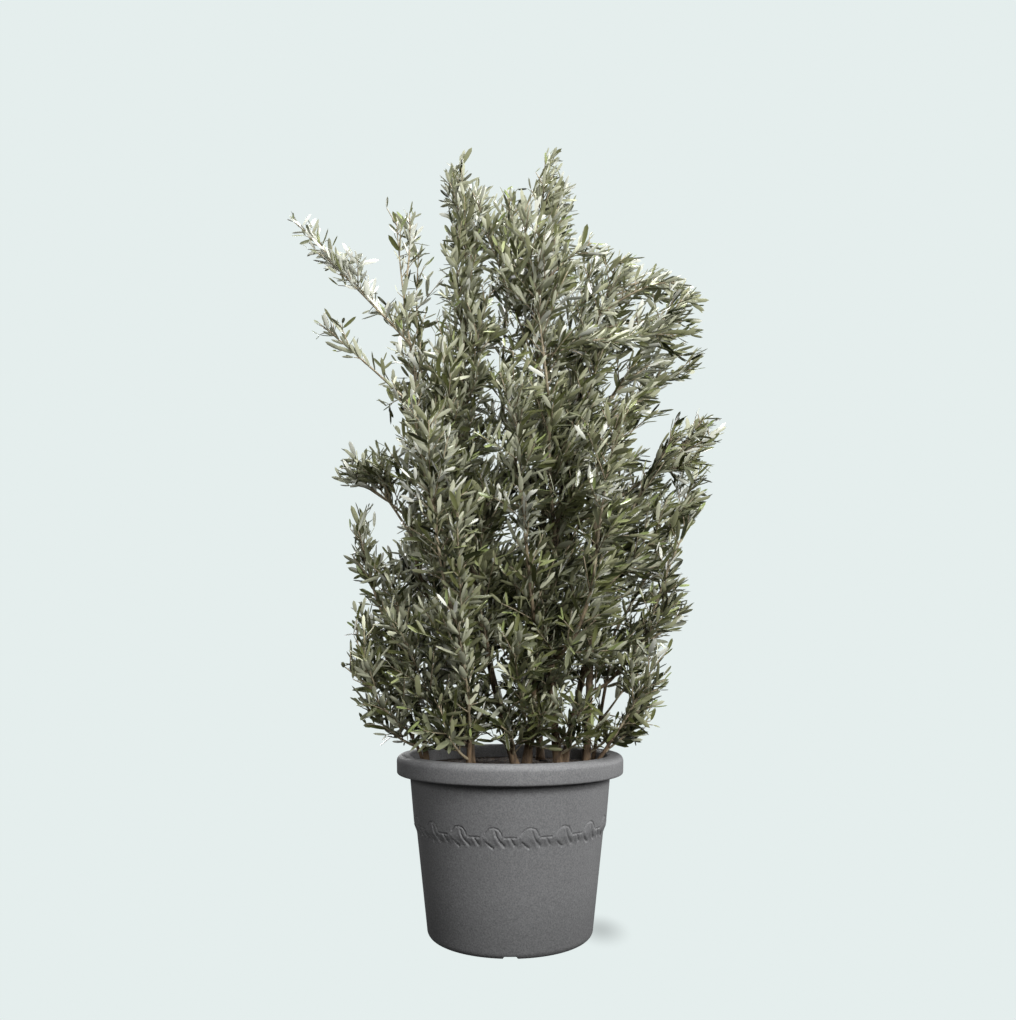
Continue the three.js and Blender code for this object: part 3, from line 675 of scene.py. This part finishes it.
def stroke_field(across, up, strokes):
    """How much of a stroke lies at each place: 1 on its line, falling to 0 beside it."""
    field = np.zeros(across.shape)
    for points, (first, last) in strokes:
        spans = len(points) - 1
        for i, (start, end) in enumerate(zip(points, points[1:])):
            dx, dz = end[0] - start[0], end[1] - start[1]
            share = ((across - start[0]) * dx + (up - start[1]) * dz) / (dx * dx + dz * dz)
            share = np.clip(share, 0, 1)
            gap = np.hypot(across - start[0] - share * dx, up - start[1] - share * dz)
            field = np.maximum(field, np.exp(-((gap / mix(first, last, (i + share) / spans)) ** 2)))
    return field


def garland_radius(z):
    """Radius of the wall at each height of the band and each column of one repeat."""
    column = np.arange(MOTIF_COLUMNS) / MOTIF_COLUMNS
    across, height = np.meshgrid((column - MOTIF_LEFT) * MOTIF_WIDTH, z)
    up = (height - CREST) / MM
    forward = np.clip((height - WALL_STEP) / BAND_FADE + 0.5, 0, 1)
    forward = forward**2 * (3 - 2 * forward)
    relief = RIB_HEIGHT * stroke_field(across, up, RIBS) - GROOVE_DEPTH * stroke_field(across, up, GROOVES)
    return mix(lower_wall(height), upper_wall(height), forward) + relief


def notched(radius, height, turn):
    """Heights of the rings, raised where a drainage notch is cut into the foot."""
    quarter = 2 * math.pi / NOTCH["count"]
    off = (turn + quarter / 2) % quarter - quarter / 2
    sideways = np.abs(off) * WALL_FOOT_RADIUS
    share = np.clip((NOTCH["mouth"] / 2 - sideways) / ((NOTCH["mouth"] - NOTCH["roof"]) / 2), 0, 1)
    cut = (radius >= NOTCH["inner"]) & (height < NOTCH["height"])
    return np.where(cut, np.maximum(height, NOTCH["height"] * share), height)


def planter_mesh():
    """The profile all the way round, closed at the underside and the inner floor."""
    profile = planter_profile()
    rings = len(profile)
    ring = np.arange(AROUND)
    start = math.radians(MOTIF_TURN - 90) - MOTIF_LEFT * 2 * math.pi / MOTIFS
    turn = np.repeat((start + ring * 2 * math.pi / AROUND)[None], rings, 0)
    radius = np.repeat(profile[:, :1], AROUND, 1)
    band = (profile[:, 1] >= BAND[0]) & (profile[:, 1] <= BAND[1])
    radius[band] = np.tile(garland_radius(profile[band, 1]), MOTIFS)
    height = notched(radius, np.repeat(profile[:, 1:], AROUND, 1), turn)
    points = np.stack([radius * np.cos(turn), radius * np.sin(turn), height], -1).reshape(-1, 3)
    centres = np.array([[0, 0, profile[0, 1]], [0, 0, profile[-1, 1]]])
    after = (ring + 1) % AROUND
    top = (rings - 1) * AROUND
    underside = np.stack([np.full(AROUND, len(points)), after, ring], 1)
    floor = np.stack([np.full(AROUND, len(points) + 1), top + ring, top + after], 1)
    triangles = np.concatenate([grid_triangles(rings, AROUND), underside, floor])
    return np.concatenate([points, centres]), triangles


def soil_mesh():
    edge = inner_radius(RIM_UNDERSIDE) - SOIL["gap"]
    first, level = SOIL_SHARES
    share = np.linspace(first, 1, SOIL["rings"])
    angle = np.arange(SOIL["columns"]) * 2 * math.pi / SOIL["columns"]
    r, a = np.meshgrid(share * edge, angle, indexing="ij")
    x, y = r * np.cos(a), r * np.sin(a)
    crumbs = np.random.default_rng(SEEDS["crumbs"]).normal(0, SOIL["crumb"], r.shape)
    heave = SOIL["heave"] * ripple(x * RIPPLES["scale"], np.round(y * RIPPLES["scale"]), SEEDS["heave"])
    z = SOIL_TOP - SOIL["sink"] + (heave + crumbs) * (r < edge * level)
    points = np.stack([x, y, z], -1).reshape(-1, 3)
    return points, grid_triangles(SOIL["rings"], SOIL["columns"])


# ---- Limbs ----


def build_limbs():
    """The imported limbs' curves and radii, by name, in metres."""
    limbs = {}
    for name, (foot, tip, bow, radii) in STEMS.items():
        root = np.array([*foot, SOIL_TOP / MM + STEM_RISE])
        limbs[name] = (Curve(root * MM, np.array(tip) * MM, np.array(bow) * MM), np.array(radii) * MM)
    for name, (parent, at, tip, bow, radii) in BOUGHS.items():
        root = limbs[parent][0].point(at)
        limbs[name] = (Curve(root, np.array(tip) * MM, np.array(bow) * MM), np.array(radii) * MM)
    return limbs


def limb_mesh(curve, radii, seed, flared):
    """A limb with bark relief, joints where twigs once stood, and a root flare on a stem."""

    def radius(t, angle):
        along = t * curve.length
        flare = ROOT_FLARE * np.exp(-along / FLARE_LENGTH) if flared else 0
        off = np.mod(along + JOINT["shift"] * seed, JOINT["spacing"]) - JOINT["place"]
        joints = JOINT["swell"] * np.exp(-((off / JOINT["width"]) ** 2))
        bark = BARK_RELIEF * ripple(along * RIPPLES["scale"], angle, seed)
        return mix(*radii, t) * (1 + flare + joints + bark)

    return tube(curve, radius, LIMB_SIDES, max(12, round(curve.length / LIMB_RING)))


# ---- Growth ----


def view_margin(points):
    """How far inside the crown's outline, and clear of its gaps, the camera sees each point: mm."""
    shrink = -CAMERA_PLACE[1] / (points[:, 1] - CAMERA_PLACE[1])
    u = (CAMERA_PLACE[0] + (points[:, 0] - CAMERA_PLACE[0]) * shrink) / MM
    v = (CAMERA_PLACE[2] + (points[:, 2] - CAMERA_PLACE[2]) * shrink) / MM
    heights, lefts, rights = np.array(OUTLINE, float).T
    margin = np.minimum(u - np.interp(v, heights, lefts), np.interp(v, heights, rights) - u)
    margin = np.minimum(margin + OUTLINE_SLACK, heights[-1] - v)
    for middle_u, middle_v, half_u, half_v in GAPS:
        ratio = np.hypot((u - middle_u) / half_u, (v - middle_v) / half_v)
        margin = np.minimum(margin, (ratio - 1) * min(half_u, half_v))
    return margin


def leaf_lean(root):
    """How far leaves at these places lean towards +X."""
    across = np.clip((root[:, :1] + LEAN_SIDE) / (2 * LEAN_SIDE), 0, 1)
    up = np.clip((root[:, 2:] - LEAN_FROM) / LEAN_FADE, 0, 1)
    return EAST * LEAF_LEAN * across * up


class Growth:
    """Twigs and leaves along a curve, within a reach of it and as open as asked."""

    def __init__(self, curve, spread, seed, openness=1):
        self.curve = curve
        self.spread = spread
        self.openness = openness
        self.samples = self.curve.point(np.linspace(0, 1, SHOOT_SAMPLES))
        self.rng = np.random.default_rng(seed)
        self.twigs = []  # curve, first and last radius, 0 for old wood or 1 for young, share grown
        self.leaves = []  # arrays, one row a leaf

    def within(self, points, fade=0):
        """True for each point that the growth may reach. Fewer may where the crown fades out."""
        distance = np.linalg.norm(points[:, None] - self.samples[None], axis=-1)
        nearest = distance.argmin(1)
        t = nearest / (len(self.samples) - 1)
        reach = self.spread * mix(1, TIP_SPREAD, np.maximum(0, 2 * t - 1) ** 2)
        close = distance.min(1) <= reach * REACH_SLACK
        seen = view_margin(points) > fade * self.rng.random(len(points))
        return close & (points[:, 2] > LOWEST_LEAF) & seen

    def spray_tint_with_painted_light(self, place):
        """A tint for a spray: paler higher up, further out and further left as painted light, with painted
        shade low and inside the crown, and some stray of its own.
        """
        height = (place[2] - LOWEST_LEAF) / (CROWN_TOP - LOWEST_LEAF)
        outness = min(math.hypot(place[0], place[1]) / CROWN_RADIUS, MOST_OUTNESS)
        # Painted light: height, outness and side pick paler or darker tints.
        share = TINT_WITH_PAINTED_LIGHT["least"] + TINT_WITH_PAINTED_LIGHT["height"] * height + TINT_WITH_PAINTED_LIGHT["outness"] * outness
        share -= TINT_WITH_PAINTED_LIGHT["left"] * place[0] / CROWN_RADIUS
        share += self.rng.normal(0, TINT_WITH_PAINTED_LIGHT["stray"])
        return int(np.clip(share * len(UPPER_TINTS), 0, len(UPPER_TINTS) - 1))

    def grow_shoot(self, root_radius):
        """The curve itself as a leafy shoot with its twigs, as far as it bears any."""
        tip = 1 - 0.9 * LEAF_LENGTH / self.curve.length
        tint = self.spray_tint_with_painted_light(self.curve.point(0.7))
        leafy = self.add_leaves(self.curve, LEAVES_FROM["shoot"], tip, tint)
        wood_end = max(leafy, self.grow_twigs(*TWIGS_ALONG, TWIG_SPACING * self.openness))
        self.twigs.append((self.curve, root_radius, SHOOT_RADII[1], 0, wood_end))

    def grow_twigs(self, start, end, spacing):
        """Twigs all along the curve. Returns how far along it the last one stands."""
        count = max(3, round(self.curve.length * (end - start) / spacing))
        first = self.rng.integers(0, 5)
        last = 0
        for k in range(count):
            t = mix(start, end, (k + 0.6 * self.rng.random()) / count)
            if self.grow_twig(t, (k + first) * TWIG_TURN + self.rng.normal(0, TURN_STRAY)):
                last = t
        return last

    def grow_twig(self, t, angle):
        """A twig with its twiglets, shorter where it would leave the reach. False if none fits."""
        rng = self.rng
        side = self.curve.across(t, angle)
        opening = math.radians(mix(*TWIG_OPENING, t) + rng.normal(0, TWIG_OPENING_STRAY))
        out = self.curve.tangent(t) * math.cos(opening) + side * math.sin(opening)
        reach = self.spread * mix(*TWIG_REACH, t) * mix(*TWIG_VARIETY, rng.random())
        span = max(reach / math.sin(opening) - 0.8 * LEAF_LENGTH, TWIG_LEAST)
        root = self.curve.point(t)
        lift, bend = rng.uniform(*TWIG_LIFT), rng.uniform(*TWIG_BEND)
        for share in TWIG_CUTS:
            tip = root + (out + UP * lift) * span * share
            twig = Curve(root, tip, UP * span * share * bend)
            if self.within(twig.point(TWIG_PROBES)).all():
                break
        else:
            return False
        span *= share
        end = self.add_leaves(twig, LEAVES_FROM["twig"], 1.0, self.spray_tint_with_painted_light(tip))
        if not end:
            return False
        self.twigs.append((twig, *TWIG_RADII, 0, end))
        for k in range(int(span / TWIGLET_SPACING)):
            at = (k + 0.9 + 0.3 * rng.random()) * TWIGLET_SPACING / span
            if at < 0.8 * end:
                self.grow_twiglet(twig, at, k * TWIG_TURN + angle, span * (1 - at))
        return True

    def grow_twiglet(self, twig, at, angle, left):
        rng = self.rng
        opening = math.radians(rng.uniform(*TWIGLET_OPENING))
        out = twig.tangent(at) * math.cos(opening) + twig.across(at, angle) * math.sin(opening)
        span = max(left * rng.uniform(*TWIGLET_SPAN), TWIGLET_LEAST)
        root = twig.point(at)
        lift = UP * span * rng.uniform(*TWIG_LIFT)
        twiglet = Curve(root, root + out * span + lift, lift * TWIGLET_BOW)
        end = self.add_leaves(twiglet, LEAVES_FROM["twiglet"], 1.0, self.spray_tint_with_painted_light(root))
        if end:
            self.twigs.append((twiglet, *TWIGLET_RADII, 1, end))

    def add_leaves(self, shoot, first, last, tint):
        """Opposite pairs along a shoot, each turned a quarter from the last, smaller at its tip.

        Returns how far along the shoot the last leaf stands.
        """
        rng = self.rng
        spacing = PAIR_SPACING * max(1, (1 + self.openness) / 2)
        pairs = max(2, round(shoot.length * (last - first) / spacing))
        t = np.repeat(np.linspace(first, last - 0.01, pairs), 2)
        count = len(t)
        angle = np.repeat(np.arange(pairs), 2) * math.pi / 2 + np.arange(count) % 2 * math.pi
        angle = angle + rng.uniform(0, math.pi) + rng.normal(0, PAIR_STRAY, count)
        opening = np.radians(mix(*LEAF_OPENING, t) + rng.normal(0, LEAF_OPENING_STRAY, count))[:, None]
        root, tangent = shoot.point(t), shoot.tangent(t)
        along = tangent * np.cos(opening) + shoot.across(t, angle) * np.sin(opening)
        along, face = self.aimed(root, tangent, along)
        size = LEAF_LENGTH * mix(1, LEAF_TIP_SIZE, t**3) * rng.uniform(*LEAF_SIZES, count)
        fade = EDGE_FADE if self.spread > SLENDER else 0
        kept = self.within(root + along * size[:, None], fade) & (rng.random(count) > LEAF_LOSS)
        young = (t > YOUNG_FROM) & (rng.random() < YOUNG_SHARE)
        half_width = size * rng.uniform(*LEAF_SLIMNESS, count)
        curl = rng.normal(*LEAF_CURL, count)
        upper = np.where(young, len(UPPER_TINTS) + tint % 2, tint)
        lower = np.full(count, LOWER_OF_UPPER[tint])
        rows = np.column_stack([root, along, face, size, half_width, curl, upper, lower])
        self.leaves.append(rows[kept])
        return t[kept].max(initial=0)

    def aimed(self, root, tangent, along):
        """Where leaves point once they lean and stray, and where they face."""
        count = len(root)
        sway = UP * self.rng.uniform(*LEAF_RISE) + self.rng.normal(0, LEAF_SWAY, (count, 3))
        along = unit(along + leaf_lean(root) + sway)
        outward = unit(root * (1, 1, 0) + 1e-6)
        shoot, up, out, stray = LEAF_FACING
        face = tangent * shoot + UP * up + outward * out + self.rng.normal(0, stray, (count, 3))
        return along, unit(face - (face * along).sum(1)[:, None] * along)


def sheet_triangles():
    """One side of a leaf: its root, left edge, middle and right edge at each station, tip."""
    made = [(0, 3, 2), (0, 2, 1)]
    for left in (1, 4):
        middle, right = left + 1, left + 2
        made += [(middle, right, right + 3), (middle, right + 3, middle + 3)]
        made += [(left, middle, middle + 3), (left, middle + 3, left + 3)]
    made += [(8, 9, 10), (7, 8, 10)]
    return np.array(made)


def leaf_arrays(rows):
    """Points and triangles of many leaves, and the tint of each triangle."""
    root, along, face = rows[:, 0:3], rows[:, 3:6], rows[:, 6:9]
    length, half, curl = rows[:, 9], rows[:, 10], rows[:, 11]
    side = np.cross(face, along)
    s = np.concatenate([[0], np.repeat(LEAF_STATIONS, 3), [1]])
    across = np.concatenate([[0], np.outer(LEAF_WIDTHS, [1, 0, -1]).ravel(), [0]])
    keel = np.concatenate([[0], np.outer(LEAF_WIDTHS, [0, -LEAF_KEEL, 0]).ravel(), [0]])
    mid = (keel < 0).astype(float)
    x = length[:, None] * s
    y = half[:, None] * across
    flat = root[:, None] + x[..., None] * along[:, None] + y[..., None] * side[:, None]
    sheets = []
    for thickness in (0, LEAF_THICKNESS):
        z = half[:, None] * keel - thickness * mid + (length * curl)[:, None] * (s**2 - LEAF_DIP * s)
        sheets.append(flat + z[..., None] * face[:, None])
    points = np.concatenate(sheets, axis=1).reshape(-1, 3)
    upper = sheet_triangles()
    both = np.concatenate([upper, upper[:, ::-1] + len(s)])
    triangles = (np.arange(len(rows))[:, None, None] * 2 * len(s) + both).reshape(-1, 3)
    lower_first = len(UPPER_TINTS) + len(YOUNG_TINTS)
    tints = np.repeat(rows[:, 12:14], len(upper), axis=1) + np.repeat([0, lower_first], len(upper))
    return points, triangles, tints.reshape(-1)


# ---- Putting it together ----


def placed(thing, slot, *nodes):
    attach(thing, "root")
    if nodes:
        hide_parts(*nodes)


def add_planter():
    placed(mesh_object("planter_wall", *planter_mesh(), [planter_material()]), "planter", "planter")
    placed(mesh_object("soil_surface", *soil_mesh(), [soil_material()]), "soil", "soil")


def add_limbs(limbs):
    bark = [bark_material()]
    for name, table in (("stem_bark", STEMS), ("bough_bark", BOUGHS)):
        parts = [limb_mesh(*limbs[limb], seed, table is STEMS) for seed, limb in enumerate(table)]
        placed(mesh_object(name, *merged(parts), bark), "bark", *table)


def twig_arrays(growths):
    """Points and triangles of all wood of the growths, and the age of each triangle."""
    parts, ages = [], []
    for growth in growths:
        for curve, first, last, age, end in growth.twigs:
            sides, rings = FINE_TUBE if first > HEAVY_WOOD else COARSE_TUBE
            part = tube(curve, lambda t, _: mix(first, last, t / end), sides, rings, end)
            parts.append(part)
            ages.append(np.full(len(part[1]), age))
    return (*merged(parts), np.concatenate(ages))


def shoot_growth(curves, limbs, seed, parent, at, tip, bow, spread, openness=1):
    """The growth of a mass or spray, from its parent's tip or side to its own tip."""
    sway = np.random.default_rng(seed).normal(0, SHOOT_SWAY, 3)
    shoot = Curve(curves[parent].point(at), np.array(tip) * MM, np.array(bow) * MM + sway)
    growth = Growth(shoot, spread * MM, seed, openness)
    growth.grow_shoot(limbs[parent][1][1] if at == 1 else SHOOT_RADII[0])
    return growth


def limb_growth(curve, seed):
    """Leafy twigs on a limb's upper part."""
    growth = Growth(curve, LIMB_REACH, seed)
    start = (LEAFY_FROM - curve.root[2]) / (curve.tip[2] - curve.root[2])
    growth.grow_twigs(max(0.1, start), 1.0, LIMB_TWIG_SPACING)
    return growth


def grow_all(limbs):
    """Every growth, with the node that it replaces or None."""
    curves = {name: curve for name, (curve, _) in limbs.items()}
    grown = []
    for i, (name, row) in enumerate({**MASSES, **SPRAYS}.items()):
        growth = shoot_growth(curves, limbs, SEEDS["shoots"] + i, *row)
        curves[name] = growth.curve
        grown.append((growth, f"leaves_{name}" if name in MASSES else None))
    for i, (curve, _) in enumerate(limbs.values()):
        grown.append((limb_growth(curve, SEEDS["limbs"] + i), None))
    return grown


def grouped(grown):
    """The growths in groups of few enough leaves for one joined piece."""
    groups, size = [[]], 0
    for growth, node in grown:
        count = sum(len(rows) for rows in growth.leaves)
        if size + count > PIECE_LEAVES:
            groups.append([])
            size = 0
        groups[-1].append((growth, node))
        size += count
    return groups


def leaf_materials():
    """The materials in the order in which leaves count them."""
    materials = []
    kinds = (("upper", UPPER_TINTS, 0.31), ("young", YOUNG_TINTS, 0.31), ("lower", LOWER_TINTS, 0.6))
    for kind, tints, roughness in kinds:
        materials += [leaf_material(f"leaf_{kind}_{i}", t, roughness) for i, t in enumerate(tints)]
    return materials


def add_foliage(limbs):
    leaf_looks = leaf_materials()
    wood_looks = [
        twig_material("twig_old", (0.31, 0.265, 0.175), (0.17, 0.135, 0.085)),
        twig_material("twig_young", (0.30, 0.32, 0.18), (0.20, 0.21, 0.115)),
    ]
    for i, group in enumerate(grouped(grow_all(limbs))):
        nodes = [node for _, node in group if node]
        growths = [growth for growth, _ in group]
        points, triangles, tint = leaf_arrays(np.concatenate([r for g in growths for r in g.leaves]))
        placed(mesh_object(f"olive_leaves_{i}", points, triangles, leaf_looks, tint), "foliage", *nodes)
        points, triangles, age = twig_arrays(growths)
        placed(mesh_object(f"olive_twigs_{i}", points, triangles, wood_looks, age), "bark", *nodes)


# ---- Floor, light and camera ----


def add_world():
    """Faint light from all around, and a backdrop that only the camera sees."""
    world = bpy.data.worlds.new("studio")
    bpy.context.scene.view_settings.view_transform = "Standard"
    bpy.context.scene.world = world
    world.use_nodes = True
    nodes, link = world.node_tree.nodes, world.node_tree.links.new
    light = nodes["Background"]
    light.inputs["Color"].default_value = (1.0, 1.0, 0.99, 1)
    light.inputs["Strength"].default_value = AMBIENT
    seen = nodes.new("ShaderNodeBackground")
    seen.inputs["Color"].default_value = (*BACKDROP, 1)
    choose = nodes.new("ShaderNodeMixShader")
    link(nodes.new("ShaderNodeLightPath").outputs["Is Camera Ray"], choose.inputs["Fac"])
    link(light.outputs["Background"], choose.inputs[1])
    link(seen.outputs["Background"], choose.inputs[2])
    link(choose.outputs["Shader"], nodes["World Output"].inputs["Surface"])


def floor_material():
    """The backdrop's colour all over, with a soft shadow painted beside the planter."""
    nodes = Nodes("floor_pale", 1.0, (0, 0, 0), Specular_IOR_Level=0)
    offset = nodes.add("ShaderNodeVectorMath", operation="SUBTRACT")
    offset.inputs[1].default_value = (*SHADOW_PLACE, 0)
    ratio = nodes.add("ShaderNodeVectorMath", operation="DIVIDE")
    ratio.inputs[1].default_value = (*SHADOW_SIZE, 1)
    distance = nodes.add("ShaderNodeVectorMath", operation="LENGTH")
    nodes.link(nodes.place(), offset.inputs[0])
    nodes.link(offset.outputs["Vector"], ratio.inputs[0])
    nodes.link(ratio.outputs["Vector"], distance.inputs[0])
    # Painted shadow: the glow darkens towards the middle of the spot.
    dark = tuple((1 - SHADOW_DEPTH) * c for c in BACKDROP)
    glow_with_painted_shadow = nodes.ramp(distance.outputs["Value"], [(0, dark), (1, BACKDROP)], smooth=True)
    nodes.link(glow_with_painted_shadow, nodes.shader.inputs["Emission Color"])
    nodes.shader.inputs["Emission Strength"].default_value = 1
    return nodes.material


def add_floor():
    """A pale floor, which sends no light of its own to the plant."""
    corners = np.array([[-1, -1, 0], [1, -1, 0], [1, 1, 0], [-1, 1, 0]]) * FLOOR_HALF
    floor = mesh_object("floor", corners, np.array([[0, 1, 2], [0, 2, 3]]), [floor_material()])
    floor.visible_diffuse = False
    floor.visible_glossy = False


def add_light(name, place, target, size, power):
    data = bpy.data.lights.new(name, "AREA")
    data.size = size
    data.energy = power
    lamp = put(name, data)
    lamp.location = place
    aim = np.array(target, float) - np.array(place, float)
    yaw = math.atan2(-aim[0], aim[1])
    pitch = math.atan2(aim[2], math.hypot(aim[0], aim[1])) + math.pi / 2
    lamp.rotation_euler = (pitch, 0, yaw)


def add_camera():
    data = bpy.data.cameras.new("camera")
    data.lens = CAMERA_LENS
    data.sensor_width = CAMERA_SENSOR
    camera = put("camera", data)
    camera.location = CAMERA_PLACE
    camera.rotation_euler = (math.radians(90 + CAMERA_PITCH), 0, 0)
    bpy.context.scene.camera = camera


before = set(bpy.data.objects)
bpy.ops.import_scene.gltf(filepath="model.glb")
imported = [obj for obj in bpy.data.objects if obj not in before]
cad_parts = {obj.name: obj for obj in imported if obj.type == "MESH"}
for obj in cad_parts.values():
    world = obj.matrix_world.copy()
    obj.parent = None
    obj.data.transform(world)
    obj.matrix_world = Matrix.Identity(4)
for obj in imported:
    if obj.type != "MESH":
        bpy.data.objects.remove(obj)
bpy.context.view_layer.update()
add_camera()
add_world()
add_floor()
for light_name, light_settings in LIGHTS.items():
    add_light(light_name, *light_settings)
add_planter()
limb_curves = build_limbs()
add_limbs(limb_curves)
add_foliage(limb_curves)
